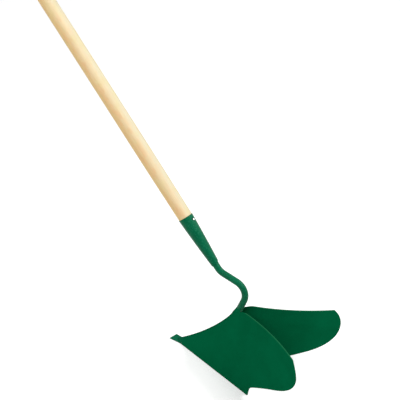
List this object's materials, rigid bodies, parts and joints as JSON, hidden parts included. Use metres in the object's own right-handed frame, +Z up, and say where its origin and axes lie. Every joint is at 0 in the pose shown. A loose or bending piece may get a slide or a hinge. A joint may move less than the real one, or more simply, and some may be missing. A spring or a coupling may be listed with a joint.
{
  "type": "ridging hoe",
  "caption": "Ridging hoe with a plough shaped pressed blade, a swan neck bar, a conical socket and a long wooden handle.",
  "frame": {"origin": "in the mirror plane, on the ground, in the middle of the flat underside of the blade's nib", "axes": "+Z up, +Y from the nib towards the open back between the wings, +X to the right of someone who looks along +Y; the handle rises towards -Y"},
  "size_m": [0.2092, 1.2606, 1.0431],
  "materials": {
    "green_paint": "glossy dark green paint with a slight orange peel",
    "handle_wood": "smooth pale wood, straight grain",
    "bright_steel": "bright, slightly worn"
  },
  "bodies": {
    "root": {"blade": "green_paint", "neck": "green_paint", "neck_weld": "green_paint", "inner_weld_left": "green_paint", "inner_weld_right": "green_paint", "socket": "green_paint", "socket_weld": "green_paint", "handle": "handle_wood", "socket_nail": "bright_steel"}
  },
  "joints": []
}
